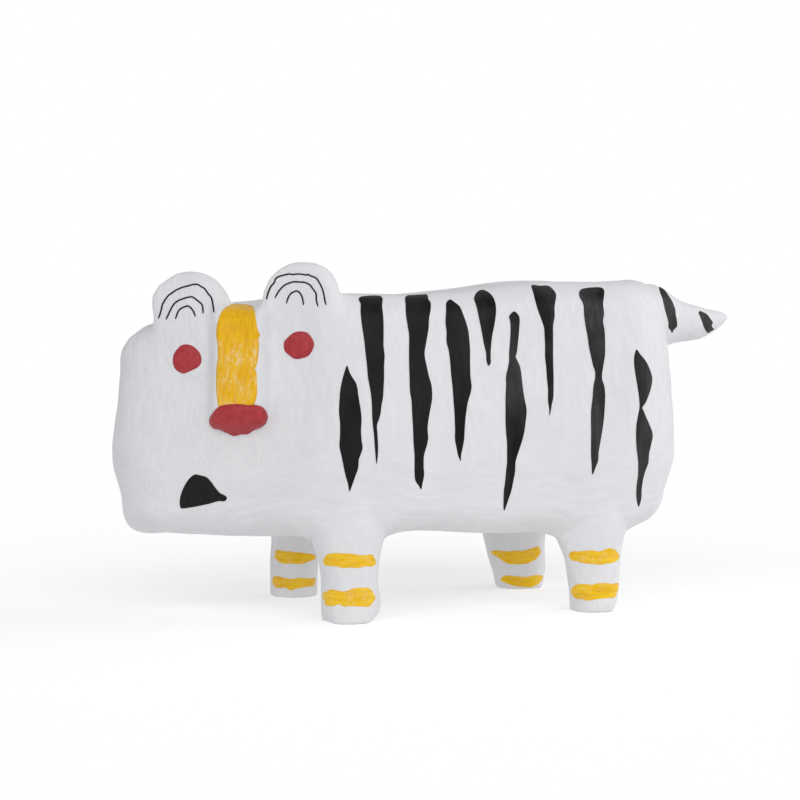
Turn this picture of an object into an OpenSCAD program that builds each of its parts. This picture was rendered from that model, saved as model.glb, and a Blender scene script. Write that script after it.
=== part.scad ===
// Folk-art tiger of pasted paper: a paper skin over a newspaper core on a wire frame.
// It stands on four round legs along X, and its face is turned towards -Y.

/* [Body plan] */
// Width across the two flanks
body_w = 123; // [116:1:130]
// Length of the -Y flank, from the cheek ridge to the rump
flank_len = 173; // [165:1:182]
// How far the head reaches in front of the cheek ridge
head_reach = 86; // [80:1:92]
// Angle that the face turns away from the -Y flank
face_turn = 36; // [32:1:40]
// Corner radius of the rump, seen from above
rump_r = 45; // [38:1:50]
// Corner radius of the right cheek, seen from above
right_cheek_r = 32; // [28:1:36]
// Corner radius at the right end of the face, seen from above
face_end_r = 34; // [28:1:38]
// Radius of the ridge between the face and the -Y flank
ridge_r = 45; // [36:1:55]

/* [Body heights] */
// Top of the head at the right cheek
cheek_top_z = 131; // [127:0.5:135]
// Top of the head between the ears
brow_z = 141; // [138:0.5:144]
// Top of the shoulders
withers_z = 144; // [141:0.5:147]
// Top of the back
back_z = 150.5; // [148:0.5:153]
// Top of the rump
rump_z = 152.5; // [150:0.5:155]
// Underside of the chin
chin_z = 35.5; // [33:0.5:38]
// Underside of the chest
chest_z = 39; // [37:0.5:42]
// Underside of the belly
belly_z = 36; // [34:0.5:39]
// Underside of the rear end
tuck_z = 38.5; // [36:0.5:41]
// Rounding along the top edge
top_r = 13; // [10:0.5:16]
// Rounding along the bottom edge
bottom_r = 12; // [9:0.5:15]
// Height at which the sides are widest
waist_z = 77; // [70:1:84]
// How far the sides draw in from there up to the back
upper_crown = 9; // [6:0.5:11]
// How far the sides draw in from there down to the belly
lower_crown = 7; // [4:0.5:9]
// How far the back rises towards its middle
back_dome = 1; // [0.5:0.5:3]

/* [Skin and frame] */
// Thickness of the paper skin
skin_t = 3; // [2:0.25:4]
// Diameter of the frame wire
wire_d = 2.5; // [1.6:0.1:3.2]
// Bend radius of the frame wire
wire_bend_r = 10; // [7:0.5:14]
// Height of the wire that crosses between two legs
crossbar_z = 86; // [78:1:94]
// Width of a lashing where two wires cross
lashing_w = 4; // [3:0.5:6]
// Thickness of a lashing
lashing_t = 1.2; // [0.8:0.1:2]
// How far in front of the cheek ridge the head's core ends
neck_set = 9; // [6:0.5:14]

/* [Legs] */
// Diameters at the foot: front left, front right, rear left, rear right
foot_d = [26, 22.5, 23.5, 24]; // [20:0.5:28]
// Diameters at the root: front left, front right, rear left, rear right
root_d = [27, 25, 27, 30]; // [20:0.5:32]
// Distance from the cheek ridge back to the front legs
front_leg_set = 5.5; // [3:0.5:9]
// Distance between the front and rear legs
leg_pitch = 117; // [111:1:122]
// How far a leg's root stays inside the flank
leg_set_in = 2; // [1.6:0.1:3]
// How far a leg reaches up into the body
leg_root = 22; // [17:0.5:27]
// Thickness of the paper skin on a leg, the tail and the ears
limb_skin_t = 2; // [1.5:0.25:3]
// Thickness of a sole disc
sole_t = 3.5; // [2.5:0.25:5]
// Rounding round the edge of a sole
sole_r = 2.5; // [1.5:0.25:3.5]

/* [Ears and tail] */
// Widths of the ears: left, right
ear_w = [33, 33.5]; // [29:0.5:38]
// Thickness of an ear
ear_t = 11; // [9:0.5:14]
// Heights of the round centre of the ears: left, right
ear_z = [141.2, 137.8]; // [136:0.1:144]
// Distance between the ears along the face
ear_spacing = 52.5; // [48:0.5:57]
// How far an ear's front stands behind the face
ear_set_back = 3; // [2.5:0.25:3.5]
// How far an ear reaches down into the head
ear_root = 12; // [9:0.5:14]
// Thickness of the card inside an ear
ear_card_t = 3; // [2:0.25:4]
// Width of the card's tongue
ear_tongue_w = 16; // [12:0.5:20]
// How far the tongue goes below the ear's root
ear_tongue = 12; // [8:0.5:16]
// How far the tail stands out behind the rump
tail_out = 41; // [36:1:46]
// Diameter of the tail near the rump
tail_d = 25; // [21:0.5:29]
// How far the tail flares out where it meets the rump
tail_flare = 3.5; // [1:0.5:5]
// Height of the tail
tail_z = 133.5; // [131:0.5:136]
// How far the tail's root goes into the rump
tail_root = 16; // [12:0.5:20]

/* [Face] */
// Distance of the middle of the face from the cheek ridge
face_mid = 49; // [46:0.5:52]
// How far the ears sit to the right of the middle
ear_shift = 1.5; // [-1:0.5:3]
// How far the nose and its bridge sit to the right of the middle
nose_shift = 1.5; // [-1:0.5:3]
// Distance between the eyes along the face
eye_spacing = 52; // [47:0.5:57]
// Heights of the eyes: left, right
eye_z = [121.4, 115.6]; // [110:0.1:126]
// Diameter of an eye
eye_d = 13.4; // [11:0.2:16]
// How far an eye stands proud
eye_t = 2; // [1.2:0.1:3]
// Width of the bridge of the nose
bridge_w = 20; // [16:0.5:24]
// Heights of the lower and upper end of the bridge
bridge_ends_z = [95, 139.5]; // [90:0.5:142]
// Corner radius of the bridge
bridge_r = 6; // [3:0.5:8]
// How far the bridge stands proud
bridge_t = 4; // [2.5:0.25:5.5]
// Width of the nose
nose_w = 27.5; // [23:0.5:32]
// Height of the nose
nose_h = 14; // [11:0.5:17]
// How far the nose stands proud
nose_t = 5.5; // [3.5:0.25:7]

/* [Hidden] */
$fn = 48;
// Overshoot of a cut past the face it opens
over = 1;
// Reach of a cut that has to clear the whole figure
beyond = 400;

// Plan of the body, with X measured so that the figure's box is centred
half_w = body_w / 2;
total_len = head_reach + flank_len + tail_out;
head_x = -total_len / 2;
ridge_x = head_x + head_reach;
rump_x = ridge_x + flank_len;
cheek_y = head_reach * tan(face_turn) - half_w;
plan_corner = [[rump_x, -half_w], [rump_x, half_w], [head_x, half_w], [head_x, cheek_y], [ridge_x, -half_w]];
plan_r = [rump_r, rump_r, right_cheek_r, face_end_r, ridge_r];
// Outward direction of the side before each corner, and of the side after the last one
plan_dir = [-90, 0, 90, 180, 270 - face_turn, 270];
plan_arc_steps = [8, 8, 8, 5, 4];
plan_side_steps = [2, 10, 2, 4, 8];
plan_mid = [(ridge_x + rump_x) / 2 - rump_r, 0];
corner_count = len(plan_corner);

function unit(a) = [cos(a), sin(a)];
function plan_centre(i) =
    let (turn = plan_dir[i + 1] - plan_dir[i], mid = (plan_dir[i + 1] + plan_dir[i]) / 2)
    plan_corner[i] - plan_r[i] / cos(turn / 2) * unit(mid);
function arc_point(i, a) = plan_centre(i) + plan_r[i] * unit(a);
// Places on the plan and the outward direction at each, corner by corner
plan = [
    for (i = [0 : corner_count - 1])
        let (a0 = plan_dir[i], a1 = plan_dir[i + 1], next = (i + 1) % corner_count)
        let (side_start = arc_point(i, a1), side_end = arc_point(next, a1))
        each concat(
            [for (k = [0 : plan_arc_steps[i]])
                let (a = a0 + (a1 - a0) * k / plan_arc_steps[i])
                [arc_point(i, a), unit(a)]],
            [for (k = [1 : plan_side_steps[i] - 1])
                [side_start + (side_end - side_start) * k / plan_side_steps[i], unit(a1)]])
];
plan_count = len(plan);

// Heights of the back and the underside along X, each change blended in between two places
front_leg_x = ridge_x + front_leg_set;
rear_leg_x = front_leg_x + leg_pitch;
brow_set = 26;
shoulder_set = 27;
loin_set = 40;
hip_set = 13;
brow_x = ridge_x - brow_set;
shoulder_x = front_leg_x + shoulder_set;
loin_x = rear_leg_x - loin_set;
hip_x = rear_leg_x - hip_set;
function blend(x, x0, x1) =
    let (t = min(1, max(0, (x - x0) / (x1 - x0))))
    t * t * (3 - 2 * t);
function top_z(x) =
    cheek_top_z
    + (brow_z - cheek_top_z) * blend(x, head_x + top_r, brow_x)
    + (withers_z - brow_z) * blend(x, brow_x, front_leg_x)
    + (back_z - withers_z) * blend(x, shoulder_x, hip_x)
    + (rump_z - back_z) * blend(x, rear_leg_x, rump_x - top_r);
function under_z(x) =
    chin_z
    + (chest_z - chin_z) * blend(x, brow_x, front_leg_x)
    + (belly_z - chest_z) * blend(x, shoulder_x, loin_x)
    + (tuck_z - belly_z) * blend(x, hip_x, rump_x);

// Levels up the side, as [share of the bottom rounding drawn in, rise within it, share of the wall,
// share of the top rounding drawn in, rise within it]
edge_steps = 5;
wall_steps = 5;
levels = concat(
    [for (i = [0 : edge_steps]) let (a = 90 * i / edge_steps) [1 - sin(a), 1 - cos(a), 0, 0, 0]],
    [for (i = [1 : wall_steps - 1]) [0, 1, i / wall_steps, 0, 0]],
    [for (i = [0 : edge_steps]) let (a = 90 * i / edge_steps) [0, 1, 1, 1 - cos(a), sin(a)]]);
cap_shares = [0.88, 0.7, 0.5, 0.25];
function crown(z) = z > waist_z
    ? upper_crown * pow((z - waist_z) / (back_z - waist_z), 2)
    : lower_crown * pow((waist_z - z) / (waist_z - belly_z), 2);

// Where a side's top or bottom edge ends, once its rounding and its crown are drawn in
function edge_x(p, rounding, z) = p[0][0] - (rounding + crown(z)) * p[1][0];
// A place on the body's surface, drawn in by t all over
function skin_point(p, level, t) =
    let (low = under_z(edge_x(p, bottom_r, belly_z)) + t)
    let (high = top_z(edge_x(p, top_r, top_z(p[0][0]))) - t)
    let (wall = high - low - (top_r - t) - (bottom_r - t))
    let (z = low + (bottom_r - t) * level[1] + wall * level[2] + (top_r - t) * level[4])
    let (draw_in = t + (bottom_r - t) * level[0] + (top_r - t) * level[3] + crown(z))
    let (at = p[0] - draw_in * p[1])
    [at[0], at[1], z];
// A place on the back or the belly, a share of the way out from the middle
function cap_point(edge, share, t, upper) =
    let (at = plan_mid + ([edge[0], edge[1]] - plan_mid) * share)
    [at[0], at[1], upper ? top_z(at[0]) - t + back_dome * (1 - share * share) : under_z(at[0]) + t];
function ring(level, t) = [for (p = plan) skin_point(p, level, t)];
function cap_ring(share, t, upper) =
    [for (e = ring(levels[upper ? len(levels) - 1 : 0], t)) cap_point(e, share, t, upper)];

// The whole body as one closed form, drawn in by t
module body_form(t = 0) {
    rings = concat(
        [for (i = [len(cap_shares) - 1 : -1 : 0]) cap_ring(cap_shares[i], t, false)],
        [for (l = levels) ring(l, t)],
        [for (s = cap_shares) cap_ring(s, t, true)]);
    n = plan_count;
    last = len(rings) - 1;
    foot = n * len(rings);
    crest = foot + 1;
    ends = [cap_point(plan_mid, 0, t, false), cap_point(plan_mid, 0, t, true)];
    polyhedron(
        points = concat([for (r = rings) each r], ends),
        faces = concat(
            [for (k = [0 : n - 1]) [foot, k, (k + 1) % n]],
            [for (j = [0 : last - 1]) for (k = [0 : n - 1]) let (m = (k + 1) % n)
                each [[j * n + k, (j + 1) * n + k, (j + 1) * n + m], [j * n + k, (j + 1) * n + m, j * n + m]]],
            [for (k = [0 : n - 1]) [last * n + k, crest, last * n + (k + 1) % n]]),
        convexity = 6);
}

// Legs in the order front left, front right, rear left, rear right
leg_x = [front_leg_x, front_leg_x, rear_leg_x, rear_leg_x];
leg_side = [-1, 1, -1, 1];
leg_under_z = [chest_z, chest_z, tuck_z, tuck_z];
function leg_y(i) = leg_side[i] * (half_w - leg_set_in - root_d[i] / 2);
function leg_top_z(i) = leg_under_z[i] + leg_root;

module at_leg(i) {
    translate([leg_x[i], leg_y(i), 0]) children();
}

// A leg above its sole, drawn in by t
module leg_form(i, t = 0) {
    at_leg(i)
        translate([0, 0, sole_t])
            cylinder(h = leg_top_z(i) - sole_t, d1 = foot_d[i] - 2 * t, d2 = root_d[i] - 2 * t);
}

module leg_roll(i, wire) {
    color("lightgray") difference() {
        leg_form(i, limb_skin_t);
        wire_upright(wire, i);
    }
}

module leg_skin(i) {
    color("white") difference() {
        leg_form(i);
        at_leg(i)
            translate([0, 0, sole_t - over])
                leg_bore(i);
    }
}

// The room for the paper roll in a leg's skin, open at both ends
module leg_bore(i) {
    inner_foot = foot_d[i] / 2 - limb_skin_t;
    inner_root = root_d[i] / 2 - limb_skin_t;
    rise = leg_top_z(i) - sole_t;
    flare = (inner_root - inner_foot) * over / rise;
    cylinder(h = rise + 2 * over, r1 = inner_foot - flare, r2 = inner_root + flare);
}

module sole(i) {
    r = foot_d[i] / 2;
    color("whitesmoke") at_leg(i) rotate_extrude() union() {
        square([r - sole_r, sole_t]);
        translate([0, sole_r]) square([r, sole_t - sole_r]);
        intersection() {
            translate([r - sole_r, sole_r]) circle(r = sole_r);
            square([r, sole_t]);
        }
    }
}

// A quarter bend of wire that starts at the origin along +X and turns up to +Z
module wire_bend() {
    translate([0, 0, wire_bend_r])
        rotate([90, 0, 0])
            rotate([0, 0, -90])
                rotate_extrude(angle = 90)
                    translate([wire_bend_r, 0]) circle(d = wire_d);
}

// Leg wires: an upright in each of two legs and a crossbar straight across between them
// A wire is listed by its left and right leg
front_wire = [0, 1];
rear_wire = [2, 3];
function wire_x(w) = leg_x[w[0]];

module wire_upright(w, i) {
    translate([wire_x(w), leg_y(i), sole_t])
        cylinder(h = crossbar_z - wire_bend_r - sole_t, d = wire_d);
}

module leg_wire_form(w) {
    left_y = leg_y(w[0]);
    right_y = leg_y(w[1]);
    for (i = w) {
        wire_upright(w, i);
        translate([wire_x(w), leg_y(i) - leg_side[i] * wire_bend_r, crossbar_z])
            rotate([0, 0, leg_side[i] * 90])
                mirror([0, 0, 1])
                    wire_bend();
    }
    translate([wire_x(w), left_y + wire_bend_r, crossbar_z])
        rotate([-90, 0, 0])
            cylinder(h = right_y - left_y - 2 * wire_bend_r, d = wire_d);
}

// A lashing slants over the crossing of the spine with a crossbar
function loop_h(grow) = 2 * wire_d + 2 * grow;
function loop_w(grow) = wire_d * sqrt(2) + lashing_w + 2 * wire_d + 2 * grow;
// How far a lashing reaches along the spine, rounded up to a whole size
lashing_reach = ceil((loop_w(lashing_t) + lashing_w) / 2 / sqrt(2));

module lashing_form(w, grow, width) {
    straight = loop_w(grow) - loop_h(grow);
    translate([wire_x(w), 0, crossbar_z + wire_d / 2])
        rotate([0, 0, 45])
            rotate([90, 0, 0])
                linear_extrude(width, center = true) {
                    square([straight, loop_h(grow)], center = true);
                    for (side = [-1, 1])
                        translate([side * straight / 2, 0]) circle(d = loop_h(grow));
                }
}

module lashing(w) {
    color("dimgray") difference() {
        lashing_form(w, lashing_t, lashing_w);
        lashing_form(w, 0, lashing_w + 2 * over);
    }
}

// Spine wire: along the body over the crossbars, up behind the rear lashing and out into the tail
spine_z = crossbar_z + wire_d;
spine_start_x = head_x + right_cheek_r;
spine_rise_x = rear_leg_x + lashing_reach;
spine_tip_x = rump_x + tail_out / 2;

module spine_wire_form() {
    translate([spine_start_x, 0, spine_z])
        rotate([0, 90, 0])
            cylinder(h = spine_rise_x - spine_start_x, d = wire_d);
    translate([spine_rise_x, 0, spine_z])
        wire_bend();
    translate([spine_rise_x + wire_bend_r, 0, spine_z + wire_bend_r])
        cylinder(h = tail_z - spine_z - 2 * wire_bend_r, d = wire_d);
    translate([spine_rise_x + 2 * wire_bend_r, 0, tail_z])
        rotate([0, 180, 0])
            wire_bend();
    translate([spine_rise_x + 2 * wire_bend_r, 0, tail_z])
        rotate([0, 90, 0])
            cylinder(h = spine_tip_x - spine_rise_x - 2 * wire_bend_r, d = wire_d);
}

// Places on the face: X along it from the ridge, Y up, Z inwards
module on_face() {
    translate([ridge_x, -half_w, 0])
        rotate([0, 0, 180 - face_turn])
            rotate([90, 0, 0])
                children();
}

// Ears in the order left, right
function ear_at(i) = [face_mid + ear_shift + (i == 0 ? -1 : 1) * ear_spacing / 2, ear_z[i]];

module ear_outline(i, t) {
    translate(ear_at(i)) {
        circle(d = ear_w[i] - 2 * t);
        translate([t - ear_w[i] / 2, -ear_root]) square([ear_w[i] - 2 * t, ear_root]);
    }
}

module ear_form(i) {
    on_face()
        translate([0, 0, ear_set_back])
            linear_extrude(ear_t) ear_outline(i, 0);
}

module ear_card_form(i) {
    on_face()
        translate([0, 0, ear_set_back + (ear_t - ear_card_t) / 2])
            linear_extrude(ear_card_t) {
                ear_outline(i, limb_skin_t);
                translate(ear_at(i) - [ear_tongue_w / 2, ear_root + ear_tongue])
                    square([ear_tongue_w, ear_root + ear_tongue]);
            }
}

module ear_card(i) {
    color("tan") ear_card_form(i);
}

module ear_skin(i) {
    color("white") difference() {
        ear_form(i);
        ear_card_form(i);
    }
}

// Tail: its girth follows the root of the distance from the tip, and flares out at the rump
tail_steps = 12;
flare_power = 10;
function tail_r(share) = tail_d / 2 * share + tail_flare * pow(share, flare_power);

module tail_form(t = 0) {
    reach = tail_out + tail_root;
    translate([rump_x + tail_out, 0, tail_z])
        rotate([0, -90, 0])
            rotate_extrude()
                polygon(concat(
                    [[0, 2 * t]],
                    [for (k = [1 : tail_steps])
                        let (share = k / tail_steps)
                        if (tail_r(share) > 2 * t) [tail_r(share) - t, tail_out * share * share]],
                    [[tail_r(1) - t, reach], [0, reach]]));
}

module tail_roll() {
    color("lightgray") difference() {
        tail_form(limb_skin_t);
        spine_wire_form();
    }
}

module tail_skin() {
    color("white") difference() {
        tail_form();
        tail_form(limb_skin_t);
        spine_wire_form();
    }
}

module body_skin() {
    color("white") difference() {
        body_form();
        body_form(skin_t);
        for (i = [0 : 3])
            leg_form(i);
        for (i = [0 : 1])
            ear_form(i);
        tail_form();
        spine_wire_form();
    }
}

// The newspaper inside the skin, with room for the frame and the roots of the limbs
module core_form() {
    difference() {
        body_form(skin_t);
        for (i = [0 : 3])
            leg_form(i);
        for (i = [0 : 1]) {
            ear_form(i);
            ear_card_form(i);
        }
        tail_form();
        spine_wire_form();
        for (w = [front_wire, rear_wire]) {
            leg_wire_form(w);
            lashing_form(w, lashing_t, lashing_w);
        }
    }
}

// Everything in front of the neck, where the head's core ends
module head_zone() {
    translate([ridge_x - neck_set - beyond, -beyond / 2, -beyond / 2])
        cube(beyond);
}

module head_core() {
    color("gainsboro") intersection() {
        core_form();
        head_zone();
    }
}

module torso_core() {
    color("gainsboro") difference() {
        core_form();
        head_zone();
    }
}

module spine_wire() {
    color("dimgray") spine_wire_form();
}

module leg_wire(w) {
    color("dimgray") leg_wire_form(w);
}

// A raised pad that follows the skin, with the outline given on the face
module face_pad(proud) {
    difference() {
        intersection() {
            body_form(-proud);
            on_face()
                translate([0, 0, -2 * proud])
                    linear_extrude(top_r + 2 * proud) children();
        }
        body_form();
    }
}

module nose_bridge() {
    low = bridge_ends_z[0];
    rise = bridge_ends_z[1] - low;
    color("goldenrod") face_pad(bridge_t)
        translate([face_mid + nose_shift - bridge_w / 2, low]) {
            square([bridge_w, rise - bridge_r]);
            translate([bridge_r, 0]) square([bridge_w - 2 * bridge_r, rise]);
            for (x = [bridge_r, bridge_w - bridge_r])
                translate([x, rise - bridge_r]) circle(r = bridge_r);
        }
}

// The nose meets the lower end of the bridge and comes to a blunt point below
nose_steps = 16;
nose_fullness = 0.8;
nose_point_power = 8;

module nose() {
    color("firebrick") face_pad(nose_t)
        translate([face_mid + nose_shift, bridge_ends_z[0]])
            polygon([for (k = [0 : nose_steps])
                let (a = 180 * k / nose_steps)
                let (drop = nose_fullness + (1 - nose_fullness) * pow(sin(a), nose_point_power))
                [nose_w / 2 * cos(a), -nose_h * sin(a) * drop]]);
}

// Eyes in the order left, right
module eye(i) {
    color("firebrick") face_pad(eye_t)
        translate([face_mid + (i == 0 ? -1 : 1) * eye_spacing / 2, eye_z[i]])
            circle(d = eye_d);
}

body_skin();
head_core();
torso_core();
spine_wire();
leg_wire(front_wire);  // front_leg_wire
leg_wire(rear_wire);  // rear_leg_wire
lashing(front_wire);  // front_lashing
lashing(rear_wire);  // rear_lashing
leg_roll(0, front_wire);  // front_left_leg_roll
leg_roll(1, front_wire);  // front_right_leg_roll
leg_roll(2, rear_wire);  // rear_left_leg_roll
leg_roll(3, rear_wire);  // rear_right_leg_roll
leg_skin(0);  // front_left_leg_skin
leg_skin(1);  // front_right_leg_skin
leg_skin(2);  // rear_left_leg_skin
leg_skin(3);  // rear_right_leg_skin
sole(0);  // front_left_sole
sole(1);  // front_right_sole
sole(2);  // rear_left_sole
sole(3);  // rear_right_sole
ear_card(0);  // left_ear_card
ear_card(1);  // right_ear_card
ear_skin(0);  // left_ear_skin
ear_skin(1);  // right_ear_skin
tail_roll();
tail_skin();
nose_bridge();
nose();
eye(0);  // left_eye
eye(1);  // right_eye
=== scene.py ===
"""Folk-art tiger of pasted paper: its looks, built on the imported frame. Sizes are in mm, times MM."""

import math

import bmesh
import bpy
import numpy as np
from mathutils import Matrix, Vector, geometry, noise
from mathutils.bvhtree import BVHTree


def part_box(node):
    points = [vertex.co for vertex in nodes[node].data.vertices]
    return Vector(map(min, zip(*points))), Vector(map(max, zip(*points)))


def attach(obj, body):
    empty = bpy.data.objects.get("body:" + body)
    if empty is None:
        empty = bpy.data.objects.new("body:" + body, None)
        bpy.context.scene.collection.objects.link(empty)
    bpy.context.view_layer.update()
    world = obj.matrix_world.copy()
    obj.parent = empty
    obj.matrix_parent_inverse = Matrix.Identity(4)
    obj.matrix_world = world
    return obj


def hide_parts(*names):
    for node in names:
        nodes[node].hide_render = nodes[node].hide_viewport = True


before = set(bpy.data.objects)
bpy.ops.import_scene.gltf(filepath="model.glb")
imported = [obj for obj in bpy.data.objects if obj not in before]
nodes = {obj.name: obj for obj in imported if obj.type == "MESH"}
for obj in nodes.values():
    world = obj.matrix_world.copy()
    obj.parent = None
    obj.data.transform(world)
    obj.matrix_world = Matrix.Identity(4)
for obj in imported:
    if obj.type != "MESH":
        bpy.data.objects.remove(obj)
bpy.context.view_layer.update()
boxes = {name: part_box(name) for name in nodes}
MM = 0.001
TINY = 1e-9
LEGS = ("front_left", "front_right", "rear_left", "rear_right")

# Camera at the photograph's viewing angle
PHOTO_PX = 800
LENS_MM = 85
SENSOR_MM = 36
FOCAL_PX = PHOTO_PX * LENS_MM / SENSOR_MM
CAMERA_AT = Vector((-292.9, -841.1, 119.2)) * MM
CAMERA_TURN = math.radians(18)
HORIZON_ABOVE_MIDDLE_PX = 50
pitch = math.atan(HORIZON_ABOVE_MIDDLE_PX / FOCAL_PX)
RIGHT = Vector((math.cos(CAMERA_TURN), -math.sin(CAMERA_TURN), 0))
LEVEL = Vector((math.sin(CAMERA_TURN), math.cos(CAMERA_TURN), 0))
AHEAD = LEVEL * math.cos(pitch) - Vector((0, 0, math.sin(pitch)))
UP = RIGHT.cross(AHEAD)


def sight(px, py):
    """The direction from the camera through a pixel of the photograph."""
    across = (px - PHOTO_PX / 2) / FOCAL_PX
    rise = (PHOTO_PX / 2 - py) / FOCAL_PX
    return (AHEAD + RIGHT * across + UP * rise).normalized()


def make_camera():
    data = bpy.data.cameras.new("camera")
    data.lens = LENS_MM
    data.sensor_width = SENSOR_MM
    data.clip_start = 10 * MM
    camera = bpy.data.objects.new("camera", data)
    bpy.context.scene.collection.objects.link(camera)
    turn = Matrix((RIGHT, UP, -AHEAD)).transposed().to_4x4()
    camera.matrix_world = Matrix.Translation(CAMERA_AT) @ turn
    bpy.context.scene.camera = camera


# The skin: one soft form over all the outer solids, later cut into its pieces
VOXEL = 1.6 * MM
# Width of the fillet where each limb meets the body, and the share of it that fills the crease
FILLETS = {
    "front_left_leg_skin": 19 * MM,
    "front_right_leg_skin": 16 * MM,
    "rear_left_leg_skin": 18 * MM,
    "rear_right_leg_skin": 16 * MM,
    "left_ear_skin": 10 * MM,
    "right_ear_skin": 10 * MM,
    "tail_skin": 10 * MM,
}
FILLET_RISE = 0.25
CORES = ("head_core", "torso_core")
# Faces closer together than this lie on each other
TOUCH = 0.05 * MM
# Smoothing: its weights, and its rounds on the cover, the fillets, the roots of ears and tail, and the ears
RELAX_WEIGHTS = (0.5, -0.52)
MELT_WEIGHT = 0.5
RELAX_ROUNDS = 6
FILLET_ROUNDS = 12
ROOT_ROUNDS = 60
EAR_ROUNDS = 12
EAR_EDGE_ROUNDS = 4
EAR_SOFTNESS = 0.6
SWELL_ROUNDS = 6
# Above this height a leg's fillet fades into the flank
LEG_FILLET_TOP_Z = 44 * MM
LEG_FILLET_FADE = 10 * MM
# Lumps left by the paper, as (size of a lump, height)
LUMPS = ((34 * MM, 0.7 * MM), (15 * MM, 0.35 * MM), (7 * MM, 0.12 * MM))
LUMP_SHIFT = Vector((7.3, 1.9, 4.1))
# Swellings and dents of the hand-built form: (centre, reach, shift), in mm
SWELLINGS = (
    # Far edge of the face
    ((-149, 34, 100), 34, (2.8, -0.9, 0)),
    ((-142, 27, 126), 16, (1.9, 0, -1.7)),
    ((-140, 42, 127), 17, (0.9, -0.4, -1.6)),
    ((-147, 35, 50), 18, (2.1, -0.6, 0)),
    ((-139, 24, 38), 18, (-2.0, 0.6, -1.8)),
    # Rump
    ((112, -2, 147), 24, (1.2, 0, 3.3)),
    ((94, -26, 149), 22, (0.5, -0.5, 0.9)),
    ((100, -38, 51), 22, (-2.4, 0.8, 0)),
    # Back
    ((26, -12, 150), 30, (0, 0, 1.2)),
    # Tail
    ((138, 0, 126), 18, (0, 0, -1.8)),
    ((149, 0, 132), 14, (1.5, 0, 2.2)),
    ((122, 0, 143), 12, (0, 0, -1.3)),
    # Ears
    ((-68, -45, 153), 13, (1.3, -0.4, 0.6)),
    ((-134, -5, 142), 14, (-1.3, 0.4, 0)),
    ((-108.5, -15, 147), 16, (0.7, -0.2, 0.4)),
    # Legs
    ((43, 44.5, 31), 27, (-5.5, 0, 0)),
    ((44, 44.5, 14), 20, (-2.4, 0, 0)),
    ((45, -46, 33), 14, (-2.2, 0, 0)),
    ((-71.5, 47, 30), 13, (1.9, 0, 0)),
    ((-58, -46, 6), 22, (0.7, 0, 0)),
    ((49, -42, 4), 17, (1.5, 0, 0)),
    ((78, -44, 46), 14, (-1.3, 0, 0)),
    ((70, 44.5, 34), 16, (-1.7, 0, 0)),
    ((70, 44.5, 9), 12, (1.5, 0, 0)),
    ((-44.5, -46, 5), 12, (1.9, 0, 0)),
    ((-72, -42, 15), 21, (1.2, -0.4, 0)),
    # Worn edges of the soles
    ((71, -50, 0), 12, (-0.3, 0, 6.8)),
    ((-45, -48, 0), 14, (-0.3, 0, 3.8)),
    ((-72.5, -48, 0), 11, (2.2, 0, 1.5)),
    ((71, 44, 0), 8, (-2, 0, 1.8)),
)
# The thinnest paper over the newspaper inside, on the cores and on the rolls, and the deepest dent in them
CORE_COVER = 0.4 * MM
ROLL_COVER = 0.9 * MM
DENT_MAX = 1.5 * MM
# The paper pressed flat at the soles
SOLE_EDGE = 5 * MM
SOLE_PRESS = 1.8 * MM
# Where an ear runs into the face: height of the band, room beside the ear, depth behind the face
EAR_BAND = 14 * MM
EAR_SIDE = 9 * MM
EAR_DEPTH = 8 * MM
EAR_ROOT_Z = {"left_ear": 129 * MM, "right_ear": 126 * MM}
# Where the rump runs into the tail: middle and reach
TAIL_ROOT = Vector((112, -12, 138)) * MM
TAIL_ROOT_REACH = 28 * MM
# The raised bridge of the nose: distances from the cheek ridge, heights above the floor, its rise,
# the widths of its side slopes and of its foot, and how far before or behind the face it still tells
BRIDGE_SPAN = (38.7 * MM, 58 * MM)
BRIDGE_HEIGHTS = (96 * MM, 136 * MM)
BRIDGE_RISE = 7 * MM
BRIDGE_SLOPES = (4.5 * MM, 8 * MM)
BRIDGE_FOOT = 13 * MM
BRIDGE_DEPTH = 24 * MM
# The yellow on it: lower and upper end, and its wear from the lower to the upper end
BRIDGE_PAINT = (95 * MM, 140 * MM)
BRIDGE_WEAR = ((0.0, 0.8), (0.25, 0.75), (0.36, 0.3), (0.45, 1.0), (0.57, 1.0), (0.66, 0.0))


def bare_object(name, mesh):
    piece = bpy.data.objects.new(name, mesh)
    bpy.context.scene.collection.objects.link(piece)
    return piece


def cover_of(names):
    """A dense mesh round the outside of these CAD nodes, as points and polygons."""
    solid = bmesh.new()
    for name in names:
        solid.from_mesh(nodes[name].data)
    mesh = bpy.data.meshes.new("cover")
    solid.to_mesh(mesh)
    solid.free()
    cover = bare_object("cover", mesh)
    remesh = cover.modifiers.new("remesh", "REMESH")
    remesh.mode = "VOXEL"
    remesh.voxel_size = VOXEL
    graph = bpy.context.evaluated_depsgraph_get()
    dense = bpy.data.meshes.new_from_object(cover.evaluated_get(graph))
    outer = outer_island(dense)
    bpy.data.objects.remove(cover)
    bpy.data.meshes.remove(mesh)
    bpy.data.meshes.remove(dense)
    return outer


def outer_island(mesh):
    """Points and polygons of the largest connected part of a mesh."""
    form = bmesh.new()
    form.from_mesh(mesh)
    unseen = set(form.verts)
    islands = []
    while unseen:
        island = []
        edge_of_search = [unseen.pop()]
        while edge_of_search:
            vert = edge_of_search.pop()
            island.append(vert)
            for edge in vert.link_edges:
                other = edge.other_vert(vert)
                if other in unseen:
                    unseen.remove(other)
                    edge_of_search.append(other)
        islands.append(island)
    islands.sort(key=len)
    for island in islands[:-1]:
        bmesh.ops.delete(form, geom=island, context="VERTS")
    form.verts.index_update()
    points = np.array([v.co for v in form.verts])
    polygons = [[v.index for v in f.verts] for f in form.faces]
    form.free()
    return points, polygons


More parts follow.
